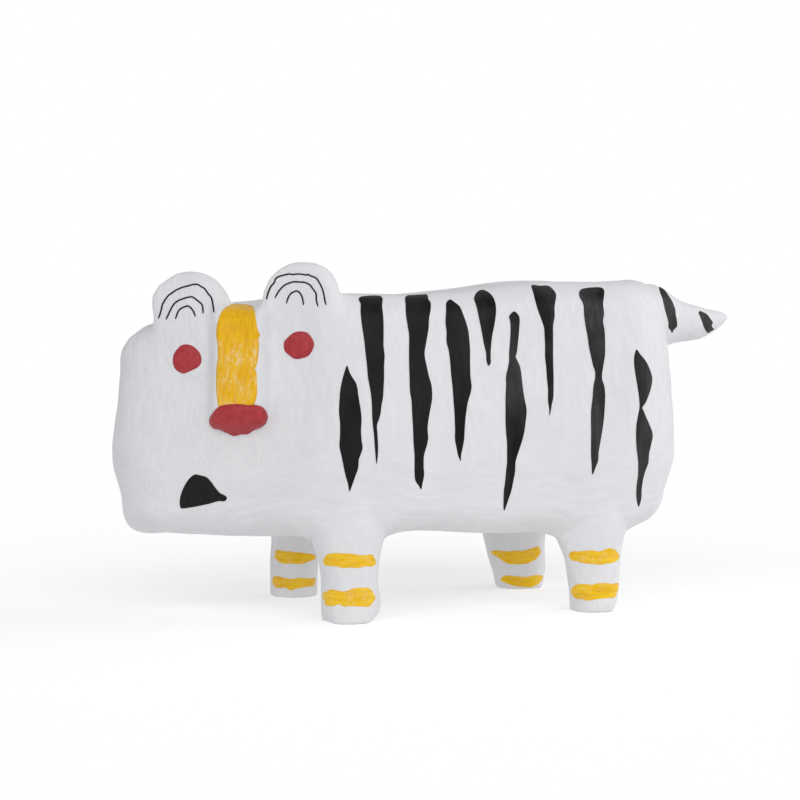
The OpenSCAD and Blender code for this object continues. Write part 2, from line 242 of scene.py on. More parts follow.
def edges_of(polygons):
    pairs = {tuple(sorted((p[i - 1], p[i]))) for p in polygons for i in range(len(p))}
    return np.array(sorted(pairs))


def averaged(values, edges):
    """Each point's mean of its neighbours' values, one column at a time."""
    a, b = edges.T
    count = np.bincount(edges.ravel(), minlength=len(values))
    columns = []
    for column in values.T:
        total = np.bincount(a, column[b], len(values)) + np.bincount(b, column[a], len(values))
        columns.append(total / count)
    return np.array(columns).T


def relax(points, edges):
    """Smooths the points over their neighbours without shrinking the form."""
    for _ in range(RELAX_ROUNDS):
        for weight in RELAX_WEIGHTS:
            points = points + weight * (averaged(points, edges) - points)
    return points


def melt(points, edges, rounds, share):
    """Lets edges and creases flow out where the share is above 0."""
    for _ in range(rounds):
        points = points + MELT_WEIGHT * share * (averaged(points, edges) - points)
    return points


def normals_of(points, polygons):
    """Smooth outward normals at the points of a quad mesh."""
    quads = np.array([p if len(p) == 4 else [*p, p[-1]] for p in polygons])
    face = np.cross(points[quads[:, 2]] - points[quads[:, 0]], points[quads[:, 3]] - points[quads[:, 1]])
    total = np.zeros_like(points)
    for corner in range(4):
        for axis in range(3):
            total[:, axis] += np.bincount(quads[:, corner], face[:, axis], len(points))
    return total / np.linalg.norm(total, axis=1)[:, None]


def tree_of(names):
    """A tree of the faces of some CAD nodes."""
    points, polygons = [], []
    for name in names:
        mesh = nodes[name].data
        first = len(points)
        points += [v.co for v in mesh.vertices]
        polygons += [[first + i for i in p.vertices] for p in mesh.polygons]
    return BVHTree.FromPolygons(points, polygons)


def bare_faces(name, others):
    """A tree of those faces of a CAD node that don't lie on any of the other nodes."""
    mesh = nodes[name].data
    touching = tree_of(others)
    faces = [p.vertices for p in mesh.polygons if touching.find_nearest(p.center)[3] > TOUCH]
    return BVHTree.FromPolygons([v.co for v in mesh.vertices], faces)


def fillet_push(points, limb, width, body):
    """How far each point moves out, so that the crease between a limb and the body becomes a fillet."""
    push = np.zeros(len(points))
    low, high = (np.array(corner) for corner in boxes[limb])
    near = np.where(((points > low - width) & (points < high + width)).all(axis=1))[0]
    limb_tree = bare_faces(limb, CORES)
    for i in near:
        point = Vector(points[i])
        _, limb_normal, _, limb_gap = limb_tree.find_nearest(point)
        _, body_normal, _, body_gap = body.find_nearest(point)
        closeness = 1 - max(limb_gap, body_gap) / width
        if closeness > 0:
            crease = min(1, max(0, 1 - limb_normal.dot(body_normal)))
            push[i] = FILLET_RISE * width * closeness ** 2 * crease
    if limb.endswith("_leg_skin"):
        push *= ramp(points[:, 2] - LEG_FILLET_TOP_Z, LEG_FILLET_FADE)
    return push


def lumps(points):
    """Height of the paper's lumps at each point."""
    heights = np.zeros(len(points))
    for layer, (size, height) in enumerate(LUMPS, 1):
        offset = LUMP_SHIFT * layer
        heights += [height * noise.noise(Vector(p) / size + offset) for p in points]
    return heights


# The face: a plane from the cheek ridge, along FACE_ALONG
ridge_corner = Vector((-64, -61.5, 0)) * MM
FACE_TURN = math.radians(36)
FACE_ALONG = Vector((-math.cos(FACE_TURN), math.sin(FACE_TURN), 0))
FACE_OUT = Vector((-math.sin(FACE_TURN), -math.cos(FACE_TURN), 0))


def ramp(distance, width):
    """1 at no distance or less, easing to 0 at the width."""
    t = np.clip(1 - distance / width, 0, 1)
    return t * t * (3 - 2 * t)


def on_face(points):
    """Distance of the points from the cheek ridge along the face, and in front of the face."""
    from_ridge = points - np.array(ridge_corner)
    return from_ridge @ np.array(FACE_ALONG), from_ridge @ np.array(FACE_OUT)


def bridge_rise(points):
    """How far the face rises at each point for the bridge of the nose."""
    along, outward = on_face(points)
    near_side = (BRIDGE_SPAN[0] - along).clip(0) / BRIDGE_SLOPES[0]
    far_side = (along - BRIDGE_SPAN[1]).clip(0) / BRIDGE_SLOPES[1]
    below = (BRIDGE_HEIGHTS[0] - points[:, 2]).clip(0) / BRIDGE_FOOT
    above = (points[:, 2] - BRIDGE_HEIGHTS[1]).clip(0) / BRIDGE_SLOPES[0]
    share = ramp(np.hypot(near_side + far_side, below + above), 1)
    return BRIDGE_RISE * share * np.minimum(1, 2 * ramp(np.abs(outward), BRIDGE_DEPTH))


def ear_roots(points):
    """1 where an ear runs into the face, easing to 0 around."""
    along, outward = on_face(points)
    share = np.zeros(len(points))
    for ear, height in EAR_ROOT_Z.items():
        low, high = boxes[ear + "_skin"]
        middle, _ = on_face(np.array([(low + high) / 2]))
        aside = (np.abs(along - middle[0]) - (high.x - low.x) / 2).clip(0)
        share = np.maximum(share, ramp(aside, EAR_SIDE) * ramp(np.abs(points[:, 2] - height), EAR_BAND))
    return (share * ramp(-outward - EAR_DEPTH, EAR_DEPTH))[:, None]


def tail_root(points):
    """1 where the rump runs into the tail, easing to 0 around."""
    return ramp(np.linalg.norm(points - np.array(TAIL_ROOT), axis=1), TAIL_ROOT_REACH)[:, None]


def ears(points):
    """1 on and close around the ears, 0 elsewhere."""
    share = np.zeros((len(points), 1))
    for ear in EAR_ROOT_Z:
        low, high = (np.array(corner) for corner in boxes[ear + "_skin"])
        share[((points > low - EAR_SIDE) & (points < high + EAR_SIDE)).all(axis=1)] = 1
    return share


def swell(points):
    """Moves the points for each swelling and dent, and presses the soles flat."""
    moved = points.copy()
    for centre, reach, shift in SWELLINGS:
        gap = np.linalg.norm(points - np.array(centre) * MM, axis=1)
        moved += ramp(gap, reach * MM)[:, None] * np.array(shift) * MM
    moved[:, 2] -= SOLE_PRESS * ramp(points[:, 2], SOLE_EDGE)
    return moved


def lifted_off(points, names, cover):
    """The points, with those too close to some of the newspaper inside lifted off it."""
    newspaper = tree_of(names)
    lifted = points.copy()
    for i, point in enumerate(points):
        spot, normal, _, gap = newspaper.find_nearest(point)
        away = Vector(point) - spot
        if gap < DENT_MAX and away.dot(normal) < 0:
            lifted[i] = spot + normal * cover
        elif gap < cover:
            lifted[i] = spot + away.normalized() * cover
    return lifted


def make_skin():
    """Points, polygons and smooth normals of the whole skin."""
    outer = ["body_skin", *CORES, "tail_skin", "tail_roll"]
    outer += [leg + part for leg in LEGS for part in ("_leg_skin", "_leg_roll", "_sole")]
    outer += [ear + part for ear in EAR_ROOT_Z for part in ("_skin", "_card")]
    points, polygons = cover_of(outer)
    edges = edges_of(polygons)
    points = relax(points, edges)
    normals = normals_of(points, polygons)
    body = bare_faces("body_skin", [*CORES, *FILLETS])
    push = np.zeros(len(points))
    for limb, width in FILLETS.items():
        push = np.maximum(push, fillet_push(points, limb, width, body))
    push = melt(push[:, None], edges, FILLET_ROUNDS, 1)
    points = relax(points + normals * push, edges)
    points = melt(points, edges, ROOT_ROUNDS, np.maximum(ear_roots(points), tail_root(points)))
    soft_ears = EAR_SOFTNESS * melt(ears(points), edges, EAR_EDGE_ROUNDS, 1)
    points = melt(points, edges, EAR_ROUNDS, soft_ears)
    points = points + np.array(FACE_OUT) * bridge_rise(points)[:, None]
    points = melt(swell(points), edges, SWELL_ROUNDS, soft_ears)
    points = points + normals_of(points, polygons) * lumps(points)[:, None]
    points = lifted_off(points, CORES, CORE_COVER)
    points = lifted_off(points, [leg + "_leg_roll" for leg in LEGS], ROLL_COVER)
    points[:, 2] = np.maximum(points[:, 2], 0)
    return points, polygons, normals_of(points, polygons)


# A line that meets the skin more flatly than this counts as a miss
GRAZE = 0.13
# How far the skin may lie outside a CAD node's box and still be that node's
ROOM = 8 * MM


class Skin:
    """The whole skin, for finding where a sight line or a straight line meets it."""

    def __init__(self, points, polygons, normals):
        self.polygons = polygons
        self.points = [Vector(p) for p in points]
        self.normals = [Vector(n) for n in normals]
        self.tree = BVHTree.FromPolygons(self.points, polygons)

    def at(self, place, polygon):
        """A place on the skin and its smooth normal."""
        corners = self.polygons[polygon]
        total = Vector()
        for i in corners:
            total += self.normals[i] / ((self.points[i] - place).length_squared + TINY)
        return place, total.normalized()

    def hit(self, start, direction):
        """Where a line first meets the skin and the normal there, or None if it misses or only grazes it."""
        place, _, polygon, _ = self.tree.ray_cast(start, direction)
        if place is None:
            return None
        found = self.at(place, polygon)
        return found if -direction.dot(found[1]) > GRAZE else None

    def hit_on(self, node, start, direction):
        """Where a line first meets the skin, or None if that isn't near a CAD node."""
        found = self.hit(start, direction)
        low, high = boxes[node]
        if found and all(low[i] - ROOM < found[0][i] < high[i] + ROOM for i in range(3)):
            return found
        return None

    def seen_on(self, node, px, py):
        return self.hit_on(node, CAMERA_AT, sight(px, py))


# Where the skin is cut into its pieces
LEG_CUT_Z = 26 * MM
TAIL_CUT_X = 117 * MM
EAR_CUT_Z = {"left_ear": 146 * MM, "right_ear": 142.5 * MM}
EAR_ROOM = 5 * MM
CUT_MARGIN = 2 * VOXEL
CUT_SLACK = 0.0001 * MM


def near_leg(leg):
    low, high = boxes[leg + "_leg_skin"]
    middle = (low + high) / 2
    reach = high.x - low.x
    return lambda p: p.z < LEG_CUT_Z and (p.xy - middle.xy).length < reach


def on_ear(ear, height):
    low, high = boxes[ear + "_skin"]
    def holds(p):
        in_x = low.x - EAR_ROOM < p.x < high.x + EAR_ROOM
        in_y = low.y - EAR_ROOM < p.y < high.y + EAR_ROOM
        return in_x and in_y and p.z > height
    return holds


def cut_skin(points, polygons):
    """The skin as a bmesh, with an edge along each cut and smooth normals at its points."""
    mesh = bpy.data.meshes.new("skin")
    mesh.from_pydata(points, [], polygons)
    form = bmesh.new()
    form.from_mesh(mesh)
    bpy.data.meshes.remove(mesh)
    cut(form, lambda p: p.z < LEG_CUT_Z + CUT_MARGIN, (0, 0, LEG_CUT_Z), (0, 0, 1))
    cut(form, lambda p: p.x > TAIL_CUT_X - CUT_MARGIN, (TAIL_CUT_X, 0, 0), (1, 0, 0))
    for ear, height in EAR_CUT_Z.items():
        cut(form, on_ear(ear, height - CUT_MARGIN), (0, 0, height), (0, 0, 1))
    form.normal_update()
    return form


def cut(form, near, place, direction):
    """Adds edges where a plane passes through the faces near it."""
    zone = [f for f in form.faces if near(f.calc_center_median())]
    edges = {e for f in zone for e in f.edges}
    verts = {v for f in zone for v in f.verts}
    geom = [*verts, *edges, *zone]
    bmesh.ops.bisect_plane(form, geom=geom, dist=CUT_SLACK, plane_co=place, plane_no=direction)


def closed_piece(name, form, faces):
    """A closed object of some of the skin's faces, shaded as the whole skin is."""
    used = {}
    for face in faces:
        for vert in face.verts:
            used.setdefault(vert, len(used))
    mesh = bpy.data.meshes.new(name)
    mesh.from_pydata([v.co for v in used], [], [[used[v] for v in f.verts] for f in faces])
    smooth = [v.normal.copy() for v in used]
    part = bmesh.new()
    part.from_mesh(mesh)
    rims = [e for e in part.edges if e.is_boundary]
    bmesh.ops.holes_fill(part, edges=rims, sides=0)
    bmesh.ops.recalc_face_normals(part, faces=part.faces)
    part.to_mesh(mesh)
    part.free()
    shade(mesh, smooth, len(faces))
    return bare_object(name, mesh)


def shade(mesh, smooth, smooth_faces):
    """Smooth shading with these normals at the points, and flat caps after the first smooth_faces."""
    mesh.polygons.foreach_set("use_smooth", [True] * len(mesh.polygons))
    loops = [None] * len(mesh.loops)
    for polygon in mesh.polygons:
        for loop in polygon.loop_indices:
            on_skin = polygon.index < smooth_faces
            loops[loop] = smooth[mesh.loops[loop].vertex_index] if on_skin else polygon.normal.copy()
    mesh.normals_split_custom_set(loops)


# Materials
WANDER = 50 * MM
EVEN_GREY = (0.5, 0.5, 0.5)


class Paint:
    """A new material: its main shader, and the nodes that feed it."""

    def __init__(self, name, roughness, specular=0.5):
        self.material = bpy.data.materials.new(name)
        self.material.use_nodes = True
        self.tree = self.material.node_tree
        self.main = self.tree.nodes["Principled BSDF"]
        self.put(self.main, {"Roughness": roughness, "Specular IOR Level": specular})

    def put(self, node, settings):
        """Sets a node's properties and sockets, each socket to a value or to another node's output."""
        for key, value in settings.items():
            if isinstance(key, str) and key not in node.inputs:
                setattr(node, key, value)
            elif isinstance(value, bpy.types.NodeSocket):
                self.tree.links.new(value, node.inputs[key])
            else:
                node.inputs[key].default_value = value
        return node

    def node(self, kind, **settings):
        return self.put(self.tree.nodes.new(kind), settings)

    def place(self):
        return self.node("ShaderNodeTexCoord").outputs["Object"]

    def noise(self, stretch, detail=4.0, wander=None, output="Fac"):
        """Noise over the object, with this many waves a metre along X, Y and Z.

        A wander noise shifts its places by up to WANDER."""
        place = self.place()
        if wander is not None:
            moved = self.node("ShaderNodeVectorMath", operation="MULTIPLY_ADD")
            place = self.put(moved, {0: wander, 1: (WANDER, WANDER, WANDER), 2: place}).outputs["Vector"]
        scaled = self.node("ShaderNodeMapping", Vector=place, Scale=stretch).outputs["Vector"]
        return self.node("ShaderNodeTexNoise", Vector=scaled, Scale=1.0, Detail=detail).outputs[output]

    def part(self, axis, direction):
        return self.node("ShaderNodeSeparateXYZ", Vector=direction).outputs[axis]

    def gauge(self, axis, start, end):
        """0 at the start and 1 at the end of a stretch along one axis of the object."""
        value = self.part(axis, self.place())
        gauged = self.node("ShaderNodeMapRange", Value=value)
        return self.put(gauged, {"From Min": start, "From Max": end}).outputs["Result"]

    def upward(self):
        """How far the surface faces up: 1 where it lies flat."""
        return self.part("Z", self.node("ShaderNodeNewGeometry").outputs["Normal"])

    def ramp(self, factor, *stops):
        """A blend between stops, each a place on the factor and a colour, or one number for a grey."""
        made = self.node("ShaderNodeValToRGB", Fac=factor)
        elements = made.color_ramp.elements
        while len(elements) < len(stops):
            elements.new(0.5)
        for element, (place, colour) in zip(elements, stops):
            element.position = place
            element.color = (*colour, 1) if isinstance(colour, tuple) else (colour, colour, colour, 1)
        return made.outputs["Color"]

    def mix(self, factor, a, b, blend="MIX"):
        """A blend of two colours or outputs."""
        a, b = ((*value, 1) if isinstance(value, tuple) else value for value in (a, b))
        mixed = self.node("ShaderNodeMix", data_type="RGBA", blend_type=blend, Factor=factor)
        return self.put(mixed, {6: a, 7: b}).outputs[2]

    def times(self, first, *others):
        for other in others:
            first = self.mix(1.0, first, other, "MULTIPLY")
        return first

    def finished(self, colour, layers, roughness=None):
        """The material with its colour, bump layers, each (height, depth), and roughness."""
        last = None
        for height, depth in layers:
            bump = self.node("ShaderNodeBump", Height=height, Distance=depth, Strength=1.0)
            if last is not None:
                self.put(bump, {"Normal": last})
            last = bump.outputs["Normal"]
        self.put(self.main, {"Base Color": colour, "Normal": last})
        if roughness is not None:
            self.put(self.main, {"Roughness": roughness})
        return self.material


def white_paint():
    """Matt white paint over pasted paper, in short strokes: upright, but level on belly and back."""
    paint = Paint("white_paint", roughness=0.6)
    wander = paint.noise((16, 16, 16), 2.0, output="Color")
    upright = paint.noise((330, 330, 70), wander=wander)
    level = paint.noise((75, 75, 400), wander=wander)
    broad = paint.noise((45, 190, 190), wander=wander)
    hairs = paint.noise((800, 800, 100), 2.0, wander)
    fibres = paint.noise((800, 800, 500), 3.0)
    patches = paint.noise((42, 42, 36), 3.0)
    low_down = paint.ramp(paint.gauge("Z", 30 * MM, 90 * MM), (0.05, 0), (0.25, 1), (0.5, 0.9), (1.0, 0))
    on_top = paint.ramp(paint.upward(), (0.6, 0), (0.85, 1))
    on_head = paint.gauge("X", -55 * MM, -100 * MM)
    along = paint.ramp(broad, (0.0, 0.34), (1.0, 0.66))
    strokes = paint.mix(on_top, paint.mix(low_down, upright, level), along)
    scratches = paint.mix(on_top, paint.mix(on_head, EVEN_GREY, hairs), EVEN_GREY)
    tone = paint.ramp(strokes, (0.3, (0.75, 0.75, 0.768)), (0.7, (0.8, 0.802, 0.818)))
    grime = paint.ramp(patches, (0.3, (0.965, 0.965, 0.97)), (0.65, 1))
    roughness = paint.ramp(patches, (0.3, 0.5), (0.7, 0.68))
    layers = ((patches, 1.0 * MM), (strokes, 0.4 * MM), (scratches, 0.4 * MM), (fibres, 0.05 * MM))
    return paint.finished(paint.times(tone, grime), layers, roughness)


def black_paint():
    """Satin black paint, brushed downwards, with grey places: thin paint in random patches, and a painted
    sheen that grows towards the tail.
    """
    paint = Paint("black_paint", roughness=0.42, specular=0.15)
    streaks = paint.noise((700, 700, 60), 3.0)
    patches = paint.noise((60, 60, 30), 3.0)
    thin = paint.ramp(patches, (0.36, 0), (0.62, 1))
    # Painted sheen: the grey grows towards the tail in place of the side light's reflection on the rear
    # stripes
    sheen_towards_tail = paint.ramp(paint.gauge("X", -15 * MM, 20 * MM), (0.0, 0.18), (1.0, 1))
    streaky = paint.ramp(streaks, (0.3, 0.45), (0.7, 1))
    # The grey share is partly thin paint in random patches and partly painted sheen
    share = paint.times(thin, sheen_towards_tail, streaky)
    colour = paint.mix(share, (0.0035, 0.0033, 0.0035), (0.05, 0.05, 0.052))
    roughness = paint.ramp(patches, (0.3, 0.34), (0.7, 0.5))
    return paint.finished(colour, ((patches, 0.4 * MM), (streaks, 0.12 * MM)), roughness)


def yellow_paint(name, deep, light, stretch, worn, worn_heights=((0.0, 1.0),)):
    """Satin yellow paint with streaks along the stroke, worn thin in places down to the white.

    worn_heights gives how worn it is, as (share of the bridge's height, share of the full wear)."""
    paint = Paint(name, roughness=0.34, specular=0.25)
    streaks = paint.noise(stretch)
    patches = paint.noise((150, 150, 120), 3.0)
    specks = paint.noise((900, 900, 420), 2.0)
    fresh = paint.ramp(streaks, (0.3, deep), (0.7, light))
    by_height = paint.ramp(paint.gauge("Z", *BRIDGE_PAINT), *worn_heights)
    thin_places = paint.ramp(patches, (0.36, 0), (0.6, worn))
    thin_specks = paint.ramp(specks, (0.42, 0), (0.66, 1))
    thin = paint.times(thin_places, by_height, thin_specks)
    colour = paint.mix(thin, fresh, (0.86, 0.7, 0.36))
    return paint.finished(colour, ((patches, 0.3 * MM), (streaks, 0.16 * MM)))


def red_paint():
    """Satin red paint with faint brush marks."""
    paint = Paint("red_paint", roughness=0.45, specular=0.3)
    streaks = paint.noise((500, 500, 350))
    patches = paint.noise((140, 140, 140), 3.0)
    colour = paint.ramp(streaks, (0.3, (0.36, 0.026, 0.034)), (0.7, (0.46, 0.042, 0.05)))
    roughness = paint.ramp(patches, (0.3, 0.38), (0.7, 0.52))
    return paint.finished(colour, ((patches, 0.3 * MM), (streaks, 0.1 * MM)), roughness)


def newsprint():
    """Crumpled newspaper, with grey bands of print."""
    paint = Paint("newsprint", roughness=0.85)
    creases = paint.noise((70, 70, 70), 5.0)
    print_bands = paint.noise((60, 60, 900), 2.0)
    paper = paint.ramp(creases, (0.3, (0.52, 0.49, 0.43)), (0.7, (0.68, 0.65, 0.58)))
    ink = paint.ramp(print_bands, (0.5, 1), (0.6, 0.55))
    return paint.finished(paint.times(paper, ink), ((creases, 2 * MM),))


def card():
    """Plain brown card with short fibres."""
    paint = Paint("card", roughness=0.8)
    fibres = paint.noise((900, 900, 300), 3.0)
    colour = paint.ramp(fibres, (0.3, (0.42, 0.3, 0.17)), (0.7, (0.55, 0.41, 0.25)))
    return paint.finished(colour, ((fibres, 0.1 * MM),))


def wire():
    """Dull galvanised wire."""
    paint = Paint("wire", roughness=0.4)
    paint.put(paint.main, {"Metallic": 1.0})
    blotches = paint.noise((300, 300, 300), 3.0)
    colour = paint.ramp(blotches, (0.3, (0.38, 0.38, 0.37)), (0.7, (0.55, 0.55, 0.54)))
    return paint.finished(colour, ((blotches, 0.05 * MM),))


def dress(piece, material):
    piece.data.materials.clear()
    piece.data.materials.append(material)
    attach(piece, "root")
    return piece


# Paint: thin closed films on the skin, whose outlines are read off the photograph
FILM_SINK = 0.4 * MM
FILM_T = 0.18 * MM
DRAW_STEPS = 250
# Spacing of the points inside a film and along its outline, in px of the photograph
STRIPE_STEP = 2.4
TAIL_STRIPE_STEP = 1.2
BAND_STEP = 1.6
PAD_STEP = 1.8
OUTLINE_STEP = 2
FINE_OUTLINE_STEP = 1.5
# Rounds of smoothing of a pad's top
PAD_ROUNDS = 10
# The stripes of the hidden flank: the seen ones, turned end for end about this place
FAR_MIDDLE_X = 12 * MM
FAR_START_Y = 150 * MM
FAR_DROP = 8 * MM
FAR_TAIL_DROP = 1.5 * MM
# The bands behind the legs are this much shorter, and shifted towards the tail
FAR_BAND_SHARE = 0.75
FAR_BAND_SHIFT = 2 * MM


def curve_through(points, closed, step):
    """Points about a step apart on a smooth curve through these, which doesn't overshoot at corners."""
    points = [Vector(p) for p in points]
    count = len(points)
    last = count if closed else count - 1
    curve = []
    for i in range(last):
        p1, p2 = points[i], points[(i + 1) % count]
        p0 = points[i - 1] if closed or i > 0 else 2 * p1 - p2
        p3 = points[(i + 2) % count] if closed or i + 2 < count else 2 * p2 - p1
        before, span, after = (math.sqrt((b - a).length) for a, b in ((p0, p1), (p1, p2), (p2, p3)))
        leave = ((p1 - p0) / before - (p2 - p0) / (before + span) + (p2 - p1) / span) * span
        arrive = ((p2 - p1) / span - (p3 - p1) / (span + after) + (p3 - p2) / after) * span
        pieces = max(1, round((p2 - p1).length / step))
        for k in range(pieces):
            t = k / pieces
            bend = (3 * (p2 - p1) - 2 * leave - arrive) * t * t + (2 * (p1 - p2) + leave + arrive) * t ** 3
            curve.append(p1 + leave * t + bend)
    if not closed:
        curve.append(points[-1])
    return curve


def inside(point, loop):
    odd = False
    for a, b in zip(loop, loop[1:] + loop[:1]):
        if (a.y > point.y) != (b.y > point.y):
            if point.x < a.x + (point.y - a.y) * (b.x - a.x) / (b.y - a.y):
                odd = not odd
    return odd


def gap_to(point, loop):
    """Distance from a point to the nearest side of a closed loop."""
    best = math.inf
    for a, b in zip(loop, loop[1:] + loop[:1]):
        side = b - a
        t = max(0, min(1, (point - a).dot(side) / max(side.length_squared, TINY)))
        best = min(best, (point - a - side * t).length)
    return best


def drawn_in(loop, place):
    """The loop, with each point that misses the skin drawn towards the loop's middle until it lies on it."""
    middle = sum(loop, Vector((0, 0))) / len(loop)
    drawn = []
    for point in loop:
        shares = (k / DRAW_STEPS for k in range(DRAW_STEPS))
        drawn.append(next(p for p in (point.lerp(middle, share) for share in shares) if place(*p)))
    return drawn


def rim_of(triangles):
    """The sides that only one of the triangles has."""
    sides = {(t[i - 1], t[i]) for t in triangles for i in range(3)}
    return [(a, b) for a, b in sorted(sides) if (b, a) not in sides]


def even(heights, triangles):
    """Smooths the heights at the triangles' corners, apart from those on the rim."""
    inner = np.ones((len(heights), 1))
    inner[[a for a, _ in rim_of(triangles)]] = 0
    return melt(np.array(heights)[:, None], edges_of(triangles), PAD_ROUNDS, inner)[:, 0]


def film(name, loop, place, step, thickness=None):
    """A closed film within a loop drawn on a plane, laid on the skin by place(x, y).

    thickness(gap) gives its height above the skin at a distance from its edge, on that plane."""
    loop = drawn_in(loop, place)
    low = Vector((min(p.x for p in loop), min(p.y for p in loop)))
    high = Vector((max(p.x for p in loop), max(p.y for p in loop)))
    inner = []
    for i in range(1, int((high.x - low.x) / step) + 1):
        for j in range(1, int((high.y - low.y) / step) + 1):
            point = low + Vector((i * step, j * step))
            if inside(point, loop) and gap_to(point, loop) > step / 2 and place(*point):
                inner.append(point)
    ring = list(range(len(loop)))
    flat, _, triangles, *_ = geometry.delaunay_2d_cdt(loop + inner, [], [ring], 1, TINY)
    hits = [place(p.x, p.y) for p in flat]
    heights = np.full(len(flat), FILM_T)
    if thickness:
        heights = even([thickness(gap_to(p, loop)) for p in flat], triangles)
    tops = [spot + normal * height for (spot, normal), height in zip(hits, heights)]
    bottoms = [spot - normal * FILM_SINK for spot, normal in hits]
    facing = 0
    for a, b, c in triangles:
        facing += (tops[b] - tops[a]).cross(tops[c] - tops[a]).dot(hits[a][1])
    if facing < 0:
        triangles = [t[::-1] for t in triangles]
    rim = rim_of(triangles)
    count = len(flat)
    faces = [list(t) for t in triangles]
    faces += [[i + count for i in reversed(t)] for t in triangles]
    faces += [[b, a, a + count, b + count] for a, b in rim]
    mesh = bpy.data.meshes.new(name)
    mesh.from_pydata(tops + bottoms, [], faces)
    mesh.update()
    return mesh, [normal for _, normal in hits], len(triangles)


def painted(name, loop, place, step, material):
    """A thin film of paint, shaded as the skin under it."""
    mesh, normals, top_faces = film(name, loop, place, step)
    shade(mesh, normals + normals, top_faces)
    return dress(bare_object(name, mesh), material)


def pad(name, outline, dome, material):
    """A raised pad on the face, with its own rounded top."""
    loop = curve_through(outline, True, FINE_OUTLINE_STEP)
    mesh, _, top_faces = film(name, loop, seen_on("body_skin"), PAD_STEP, domed(*dome))
    mesh.polygons.foreach_set("use_smooth", [p.index < top_faces for p in mesh.polygons])
    return dress(bare_object(name, mesh), material)


def domed(edge, rise, width):
    """Height of a pad that rises from its edge over a width of the photograph, in px."""
    def height(gap):
        t = max(0, 1 - gap / width)
        return edge + rise * math.sqrt(1 - t * t)
    return height


